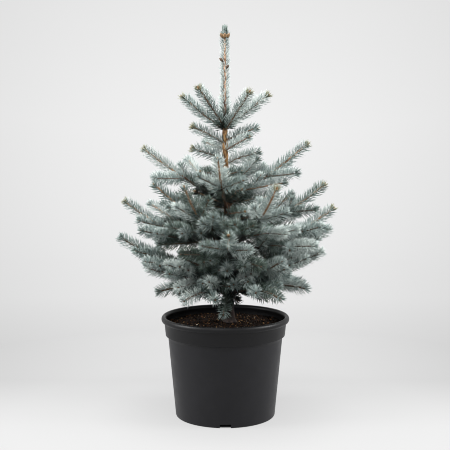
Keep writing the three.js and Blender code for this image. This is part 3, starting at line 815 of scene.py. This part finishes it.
def add_tube(shape, stem, distances, radii, sides, material):
    """A length of bark with pegs that wind round it."""
    _, side, up = stem.axes(distances)
    angles = circle(sides)
    out = side[:, None] * np.cos(angles)[None, :, None] + up[:, None] * np.sin(angles)[None, :, None]
    pegs = np.sin(PEGS.rows * angles[None] + distances[:, None] * PEGS.twist)
    pegs = 1 + PEGS.height * pegs * np.cos(distances[:, None] * PEGS.beat)
    points = stem.at(distances)[:, None] + out * (radii[:, None] * pegs)[..., None]
    shape.add(points.reshape(-1, 3), tube_triangles(len(distances), sides), material)


def add_bud(shape, centre, direction, size, material):
    """A pointed bud with its scales."""
    side = unit(np.cross(direction, [0.3, 0.2, 1.0]))
    up = np.cross(side, direction)
    shares, widths = np.array(BUD.profile).T
    rings, sides = len(shares), BUD.sides
    angles = circle(sides)
    out = side * np.cos(angles)[:, None] + up * np.sin(angles)[:, None]
    scales = 1 + BUD.scale_height * np.cos(4 * angles[None] + 3 * np.arange(rings)[:, None])
    centres = centre + direction * (shares * BUD.length * size)[:, None]
    points = centres[:, None] + out[None] * (widths[:, None] * scales * BUD.radius * size)[..., None]
    shape.add(points.reshape(-1, 3), tube_triangles(rings, sides), material)


def stem_radii(stem, distances):
    """Radius along a stem: a limb as the CAD part has it, and slimmer side shoots."""
    share = distances / stem.length
    if stem.level == 0 and stem.years > 1:
        root = LIMB.radius + LIMB.radius_per_year * stem.years
        return lerp(root, STEM_RADIUS[1], np.clip(share * 1.05, 0, 1) ** 0.8)
    slim = SIDE_SHOOT.stout if stem.level == 0 and stem.tier in ("top", "stem") else SIDE_SHOOT.slim
    return lerp(STEM_RADIUS[min(4, stem.years)] * SIDE_SHOOT.foot, STEM_RADIUS[1], share) * slim


BARKS = [  # name, darker, lighter, cells per metre, roughness, strength and depth of the bump
    ("bark_golden", (136, 102, 76), (186, 148, 114), 160, 0.6, (0.5, 0.0008)),
    ("bark_young", (86, 72, 58), (122, 102, 84), 160, 0.6, (0.5, 0.0008)),
    ("bark_second_year", (64, 45, 34), (104, 76, 56), 140, 0.7, (0.6, 0.001)),
    ("bark_old", (38, 29, 24), (68, 53, 43), 120, 0.85, (0.8, 0.0015)),
    ("bark_crest", (98, 77, 62), (142, 115, 93), 160, 0.6, (0.5, 0.0008)),
]
GOLDEN, CREST_BARK = 0, 4
BUD_SCALES = [
    ("bud_bright", (112, 86, 60), (170, 136, 96), 260, 0.5, (0.6, 0.0006)),
    ("bud_dull", (84, 66, 52), (124, 102, 82), 260, 0.5, (0.6, 0.0006)),
]
BRIGHT_BUD, DULL_BUD = 0, 1
BRIGHT_TIERS = ("top", "stem", "upper", "middle")  # their main shoots have paler bark and larger buds
BOUGH_MESH = (5, 9)  # step, sides
TWIG_MESH = (8, 6)


def make_stems(stems):
    """Boughs, twigs and buds, each kind in one piece."""
    boughs, twigs, buds = Shape(), Shape(), Shape()
    chance = np.random.default_rng(5)
    for stem in stems:
        main = stem.level == 0
        shape, (step, sides) = (boughs, BOUGH_MESH) if main else (twigs, TWIG_MESH)
        distances = np.linspace(0, stem.length, max(3, int(stem.length / step)))
        radii = stem_radii(stem, distances)
        ages = stem.age(distances)
        bright = main and stem.tier in BRIGHT_TIERS
        for age in sorted(set(ages), reverse=True):
            first, last = np.flatnonzero(ages == age)[[0, -1]]
            part = slice(first, min(len(distances), last + 2))
            if part.stop - part.start > 1:
                young = CREST_BARK if stem.tier in ("top", "stem") else GOLDEN
                bark = young if bright and age == 1 else min(3, age)
                add_tube(shape, stem, distances[part], radii[part], sides, bark)
        tip_along = stem.axes(np.array([stem.length]))[0][0]
        size = (BUD.bright if bright else BUD.dull) * (BUD.size + BUD.size_spread * chance.random())
        add_bud(buds, stem.points[-1], tip_along, size, BRIGHT_BUD if bright else DULL_BUD)
    add_leader_buds(buds)
    barks = [mottled(*row) for row in BARKS]
    place(boughs.make("bough_bark", barks), nodes_named("bough_"))
    place(twigs.make("twig_bark", barks), nodes_named("foliage_"))
    place(buds.make("buds", [mottled(*row) for row in BUD_SCALES]), nodes_named("foliage_"))


def add_leader_buds(buds):
    """The ring of buds under the top tuft, and the two single ones on the shoot."""
    count, rise = LEADER.ring_count, LEADER.ring_rise
    for i in range(count):
        turn = 360 * (i + 0.5) / count
        centre = trunk_at(LEADER.buds) + heading(turn, 0) * LEADER.ring_radius
        add_bud(buds, centre, heading(turn, rise), LEADER.bud_size, BRIGHT_BUD)
    for height, turn, size in LEADER.single_buds:
        centre = trunk_at(height) + heading(turn, 0) * LEADER.single_radius
        add_bud(buds, centre, heading(turn, LEADER.single_rise), size, DULL_BUD)


# height in metres, colour: dark at the foot, near black above it in painted shade of the lower tiers, golden
# below the top whorl, near black inside it in painted shade, and pale above
TRUNK_COLOURS_AND_SHADE = [
    (0.225, (62, 44, 34)), (0.27, (28, 21, 18)), (0.34, (32, 24, 20)), (0.40, (86, 60, 44)),
    (0.52, (124, 84, 52)), (0.60, (170, 130, 80)), (0.667, (212, 168, 114)), (0.676, (40, 31, 25)),
    (0.705, (34, 28, 24)), (0.72, (126, 104, 90)), (0.76, (218, 186, 164)), (0.87, (220, 182, 152)),
    (0.884, (128, 134, 120)),
]
TRUNK_CRACKS = [(0.43, (0.12, 0.09, 0.08, 1)), (0.51, (0.5, 0.42, 0.36, 1)), (0.6, (1, 1, 1, 1))]


def trunk_material():
    """Bark that is coloured by its height, with painted shade where the crown covers it, and darker cracks.
    """
    material, tree, shader = new_material("trunk_bark")
    colours = [(height, srgb(*colour)) for height, colour in TRUNK_COLOURS_AND_SHADE]
    heights = ramp_node(tree, object_axes(tree)["Z"], colours)
    pattern = noise_node(tree, 75, 6, (2.4, 2.4, 1.0))
    cracks = ramp_node(tree, pattern, TRUNK_CRACKS)
    link(tree, mix_node(tree, heights, cracks, 0.9, "MULTIPLY"), shader.inputs["Base Color"])
    shader.inputs["Roughness"].default_value = 0.8
    bump_node(tree, pattern, shader, 0.8, 0.0015)
    return material


def make_trunk():
    """The trunk with its flare and the relief of its bark."""
    sides = TRUNK_MESH.sides
    top = TRUNK.taper[-1][0]
    above = np.linspace(0, top, int(top / TRUNK_MESH.step))
    radii = np.interp(above, *zip(*TRUNK.taper))
    flare = TRUNK.flare_depth * np.clip(1 - above / TRUNK.flare_height, 0, 1)
    points = []
    for height, radius, lobe in zip(above, radii, flare):
        centre = trunk_at(TRUNK_FOOT + height)
        for i in range(sides):
            angle = 2 * math.pi * i / sides
            around = Vector((math.cos(angle), math.sin(angle), 0))
            spot = around * RELIEF.around + Vector((0, 0, height * RELIEF.along))
            plates = noise.noise(spot * RELIEF.coarse)
            plates += RELIEF.fine_share * noise.noise(spot * RELIEF.fine)
            size = 1 + lobe * math.cos(angle * TRUNK.flare_lobes + 1) + RELIEF.height * plates
            points.append(centre + radius * size * np.array(around))
    shape = Shape()
    shape.add(np.array(points), tube_triangles(len(above), sides))
    place(shape.make("trunk_bark", [trunk_material()]), ["trunk"])


# ---- pot and soil


def pot_inside(height):
    """Radius of the pot's inner face at a height."""
    wall = POT.thickness
    if height > POT.wall_top_height:
        rise = POT.height - POT.roll_tall * 2 - POT.band_foot_height
        share = (height - POT.band_foot_height) / rise
        return lerp(POT.band_foot_radius, POT.band_top_radius, share) - wall
    return lerp(POT.wall_foot_radius, POT.wall_top_radius, height / POT.wall_top_height) - wall


def arc(centre, radii, start, end, steps):
    """Points on an ellipse's arc, as (radius, height)."""
    angles = np.radians(np.linspace(start, end, steps))
    return [(centre[0] + radii[0] * math.cos(a), centre[1] + radii[1] * math.sin(a)) for a in angles]


def pot_profile():
    """The pot's outline as (radius, height), from under its foot over the rim to its floor."""
    wall, corner = POT.thickness, POT.corner_radius
    roll_height = POT.height - POT.roll_tall
    roll_foot = roll_height - POT.roll_tall
    soft = 1.2  # rounding of the band's edges
    foot = POT.band_foot_height
    profile = [(0, 0)] + arc((POT.wall_foot_radius - corner, corner), (corner, corner), -90, 0, 7)
    for share in (0.035, 0.05, 0.25, 0.5, 0.75, 0.97, 1):
        radius = lerp(POT.wall_foot_radius, POT.wall_top_radius, share)
        profile.append((radius, lerp(corner, foot - 2, share)))
    profile += arc((POT.band_foot_radius - soft, foot + soft), (soft, soft), -90, 0, 5)
    for share in (0.1, 0.5, 0.95):
        radius = lerp(POT.band_foot_radius, POT.band_top_radius, share)
        profile.append((radius, lerp(foot + 2, roll_foot, share)))
    roll = (POT.roll_wide, POT.roll_tall)
    profile += arc((POT.rim_radius - POT.roll_wide, roll_height), roll, -100, 205, 27)
    inside = (roll_foot - 3, foot + 1, POT.wall_top_height - 2)
    profile += [(pot_inside(height), height) for height in inside]
    profile += [(pot_inside(wall + corner), wall + corner), (pot_inside(0) - corner, wall), (0, wall)]
    return profile


def plastic():
    """Black plastic, a little worn and grained, with painted shade that darkens it from the band's foot up.
    """
    material, tree, shader = new_material("black_plastic")
    wear = noise_node(tree, 34, 8)
    # painted shade under the rim and the crown: the plastic is darker from the band's foot up
    wall = ramp_node(tree, object_axes(tree)["Z"], [(0.188, srgb(29, 29, 32)), (0.194, srgb(12, 12, 14))])
    worn = ramp_node(tree, wear, [(0.3, grey(0.8)), (0.7, grey(1))])
    link(tree, mix_node(tree, wall, worn, 1, "MULTIPLY"), shader.inputs["Base Color"])
    link(tree, ramp_node(tree, wear, [(0.3, grey(0.38)), (0.7, grey(0.5))]), shader.inputs["Roughness"])
    shader.inputs["Specular IOR Level"].default_value = 0.25
    bump_node(tree, noise_node(tree, 900, 2), shader, 0.12, 0.0003)
    return material


def make_pot():
    """The pot's shell, turned from its profile, with the drain notches cut out of its foot."""
    profile = pot_profile()
    rings = [level_ring(*spot, POT_SEGMENTS) for spot in profile[1:-1]]
    foot, floor = np.array([[0, 0, profile[0][1]]]), np.array([[0, 0, profile[-1][1]]])
    points = np.concatenate([foot, *rings, floor])
    i = np.arange(POT_SEGMENTS)
    last = 1 + (len(rings) - 1) * POT_SEGMENTS
    lid = np.stack([last + i, last + (i + 1) % POT_SEGMENTS, np.full(POT_SEGMENTS, len(points) - 1)], -1)
    shape = Shape()
    shape.add(points, np.concatenate([dish_triangles(len(rings), POT_SEGMENTS), lid]))
    pot = shape.make("pot_shell", [plastic()])
    for number in range(NOTCH.count):
        turn = 2 * math.pi * number / NOTCH.count
        bpy.ops.mesh.primitive_cube_add(size=1)
        cutter = bpy.context.object
        cutter.scale = Vector((NOTCH.width, NOTCH.depth * 2, NOTCH.height * 2)) * MM
        cutter.rotation_euler = (0, 0, turn)
        cutter.location = Vector((math.sin(turn), -math.cos(turn), 0)) * POT.wall_foot_radius * MM
        cut = pot.modifiers.new("notch", "BOOLEAN")
        cut.operation, cut.solver, cut.object = "DIFFERENCE", "EXACT", cutter
        bpy.context.view_layer.objects.active = pot
        bpy.ops.object.modifier_apply(modifier="notch")
        bpy.data.objects.remove(cutter)
    place(pot, ["pot"])


def compost_rim():
    return pot_inside(SOIL.edge_height) - COMPOST.gap


def ground(x, y):
    """Height of the lumpy compost."""
    share = 1 - math.hypot(x, y) / compost_rim()
    height = lerp(SOIL.edge_height, SOIL.crown_height, min(1, max(0, share)))
    spot = Vector((x, y, 0))
    return height + sum(tall * noise.noise(spot / wide) for tall, wide in COMPOST.lumps)


def make_compost():
    rings, segments = COMPOST.rings, COMPOST.segments
    points = [[0, 0, ground(0, 0)]]
    for ring in range(1, rings + 1):
        radius = compost_rim() * ring / rings
        for i in range(segments):
            angle = 2 * math.pi * (i + 0.5 * (ring % 2)) / segments
            x, y = radius * math.cos(angle), radius * math.sin(angle)
            points.append([x, y, ground(x, y)])
    shape = Shape()
    shape.add(np.array(points), dish_triangles(rings, segments)[:, ::-1])
    compost = mottled("compost", (5, 4, 3), (34, 22, 15), 150, 0.95, (0.9, 0.002), specular=0.1)
    place(shape.make("compost", [compost]), ["soil"])


CRUMB_CORNERS = np.array([[1, 0, 0], [0, 1, 0], [-1, 0, 0], [0, -1, 0], [0, 0, 1], [0, 0, -1]], float)
CRUMB_FACES = np.array([
    [0, 1, 4], [1, 2, 4], [2, 3, 4], [3, 0, 4], [1, 0, 5], [2, 1, 5], [3, 2, 5], [0, 3, 5]])
CRUMB_KINDS = [  # name, darker, lighter, cells per metre, roughness
    ("crumb_dark", (6, 4, 3), (22, 15, 10), 300, 0.95),
    ("crumb_brown", (38, 26, 17), (66, 46, 30), 300, 0.9),
    ("crumb_red", (58, 36, 21), (88, 58, 35), 300, 0.85),
    ("crumb_tan", (98, 73, 48), (150, 118, 82), 300, 0.8),
    ("crumb_pale", (170, 158, 140), (206, 198, 184), 300, 0.8),
]
FIRST_PALE_KIND = 3


def make_crumbs():
    """Crumbs of bark and pale chips on the compost: lumps with eight faces."""
    crumbs = Shape()
    chance = np.random.default_rng(3)
    reach = compost_rim() - CRUMBS.edge
    for _ in range(CRUMBS.count):
        radius, angle = reach * math.sqrt(chance.random()), 2 * math.pi * chance.random()
        x, y = radius * math.cos(angle), radius * math.sin(angle)
        if math.hypot(x - TRUNK.foot_offset, y) < CRUMBS.clear:
            continue
        kind = chance.choice(len(CRUMB_KINDS), p=CRUMBS.chances)
        size = CRUMBS.size + CRUMBS.size_spread * chance.random() ** 2
        size *= CRUMBS.pale_size if kind >= FIRST_PALE_KIND else 1
        scale = size * np.array([least + spread * chance.random() for least, spread in CRUMBS.sides])
        turned = np.linalg.qr(chance.normal(size=(3, 3)))[0]
        least, spread = CRUMBS.corners
        lumps = CRUMB_CORNERS * scale * (least + spread * chance.random((len(CRUMB_CORNERS), 1)))
        centre = [x, y, ground(x, y) + size * CRUMBS.sunk]
        crumbs.add(lumps @ lerp(np.eye(3), turned, CRUMBS.tilt) + centre, CRUMB_FACES, kind)
    kinds = [mottled(*row, specular=0.1) for row in CRUMB_KINDS]
    place(crumbs.make("compost_crumbs", kinds, smooth=False), ["soil"])


# ---- stage, light and camera

STAGE = Sizes(  # a shallow bowl round the plant, in metres
    hole=0.02, flat=3.0, wall=4.6, height=4.5, segments=96,
    # painted light: tone by the way back along the floor and up the wall
    tones=[(-0.3, 228), (-0.1, 227), (0.05, 222), (0.3, 209), (0.8, 224), (1.6, 233), (2.7, 235),
              (4.0, 239), (4.9, 241), (5.4, 239), (5.9, 236), (6.2, 233)],
    even=233, even_from=(1.8, 3.2),  # far out to both sides one tone takes over
    eye=2.2, fade=1.9, most_fade=0.14, soft_fade=0.12, fade_from=(0, 0.8),
    # painted shadow round the pot: the floor's glow darkens towards it
    foot=(0.1, 0.34), foot_light=0.9,  # the floor darkens towards the pot
    matte=236, glow=0.9, glow_from=(0.5, 1),  # share of the near floor's light that is its own
)


def stage_material():
    """Paper that glows with the photo's tones as painted light far off, with painted shadow round the pot,
    and is lit by the lamps near the pot.
    """
    material, tree, shader = new_material("studio_paper")
    aside, back, up = object_axes(tree)
    first, last = STAGE.tones[0][0], STAGE.tones[-1][0]
    way = range_node(tree, maths(tree, "ADD", back, up), first, last)
    stops = [((spot - first) / (last - first), srgb(*[value] * 3)) for spot, value in STAGE.tones]
    tone = ramp_node(tree, way, stops)
    beside = range_node(tree, maths(tree, "ABSOLUTE", aside), *STAGE.even_from, smooth=True)
    tone = mix_node(tree, tone, srgb(*[STAGE.even] * 3), beside)
    # the light falls off to both sides, more so further back
    slant = maths(tree, "DIVIDE", aside, maths(tree, "ADD", back, STAGE.eye))
    fade = maths(tree, "MULTIPLY", maths(tree, "MULTIPLY", slant, slant), STAGE.fade)
    fade = maths(tree, "SMOOTH_MIN", fade, STAGE.most_fade, STAGE.soft_fade)
    fade = maths(tree, "MULTIPLY", fade, range_node(tree, back, *STAGE.fade_from))
    far = tree.nodes.new("ShaderNodeVectorMath")
    far.operation = "LENGTH"
    link(tree, object_place(tree), far.inputs[0])
    # painted shadow: the glow is weaker near the pot
    foot = range_node(tree, far.outputs["Value"], *STAGE.foot, to_start=STAGE.foot_light, smooth=True)
    glow = tree.nodes.new("ShaderNodeEmission")
    link(tree, tone, glow.inputs["Color"])
    link(tree, maths(tree, "MULTIPLY", maths(tree, "SUBTRACT", 1, fade), foot), glow.inputs["Strength"])
    matte = tree.nodes.new("ShaderNodeBsdfDiffuse")
    matte.inputs["Color"].default_value = srgb(*[STAGE.matte] * 3)
    near, distant = STAGE.glow_from
    share = ramp_node(tree, far.outputs["Value"], [(near, grey(STAGE.glow)), (distant, grey(1))])
    mix = tree.nodes.new("ShaderNodeMixShader")
    link(tree, share, mix.inputs["Fac"])
    link(tree, matte.outputs["BSDF"], mix.inputs[1])
    link(tree, glow.outputs["Emission"], mix.inputs[2])
    output = next(node for node in tree.nodes if node.type == "OUTPUT_MATERIAL")
    link(tree, mix.outputs["Shader"], output.inputs["Surface"])
    tree.nodes.remove(shader)
    material.cycles.emission_sampling = "NONE"
    return material


def make_stage():
    """The bowl of paper: a flat floor that rounds up into a wall."""
    flat, wall, segments = STAGE.flat, STAGE.wall, STAGE.segments
    profile = [(radius, 0) for radius in np.linspace(STAGE.hole, flat, 40)]
    profile += [(flat + (wall - flat) * math.sin(a), (wall - flat) * (1 - math.cos(a)))
                for a in np.linspace(0, math.pi / 2, 16)[1:]]
    profile += [(wall, STAGE.height)]
    points = np.concatenate([level_ring(*spot, segments) for spot in profile])
    open_top = tube_triangles(len(profile), segments)[:-(segments - 2)]
    shape = Shape()
    shape.add(points / MM, open_top)
    stage = shape.make("studio_floor", [stage_material()])
    stage.visible_diffuse = False


LAMPS = [  # square lamps that face the plant's middle, in metres and watts: name, place, size, power
    ("softbox_over", (-0.2, -0.3, 2.6), 1.2, 32),
    ("softbox_left", (-2.4, -0.5, 1.5), 1.0, 70),
    ("softbox_right", (2.4, -0.4, 1.5), 1.0, 70),
    ("softbox_front", (-0.6, -2.8, 2.0), 1.0, 12),
]
LAMP_TARGET = (0, 0, 0.45)
# light of a white room, weak from the floor: place from straight down to straight up, light
SKY = [(0.0, 0.04), (0.42, 0.10), (0.5, 0.44), (0.72, 0.88), (1.0, 1.0)]


def make_light():
    world = bpy.data.worlds.new("studio")
    world.use_nodes = True
    tree = world.node_tree
    height = range_node(tree, object_axes(tree, "Generated")["Z"], -1, 1)
    light = ramp_node(tree, height, [(spot, grey(value)) for spot, value in SKY])
    link(tree, light, tree.nodes["Background"].inputs["Color"])
    bpy.context.scene.world = world
    for name, spot, size, power in LAMPS:
        lamp = bpy.data.lights.new(name, "AREA")
        lamp.shape, lamp.size, lamp.energy = "SQUARE", size, power
        obj = bpy.data.objects.new(name, lamp)
        obj.location = spot
        obj.rotation_euler = (Vector(spot) - Vector(LAMP_TARGET)).to_track_quat("Z", "Y").to_euler()
        bpy.context.scene.collection.objects.link(obj)


def make_camera():
    camera = bpy.data.cameras.new("camera")
    camera.lens = CAMERA.lens
    camera.sensor_width = CAMERA.sensor
    obj = bpy.data.objects.new("camera", camera)
    obj.location = (CAMERA.aside * MM, -CAMERA.distance * MM, CAMERA.height * MM)
    obj.rotation_euler = (math.radians(90 - CAMERA.pitch), 0, 0)
    bpy.context.scene.collection.objects.link(obj)
    bpy.context.scene.camera = obj
    bpy.context.scene.view_settings.view_transform = "Standard"
    bpy.context.scene.cycles.filter_width = CAMERA.filter


stems = grow_plant()
make_needles(stems)
make_stems(stems)
make_trunk()
make_pot()
make_compost()
make_crumbs()
make_stage()
make_light()
make_camera()
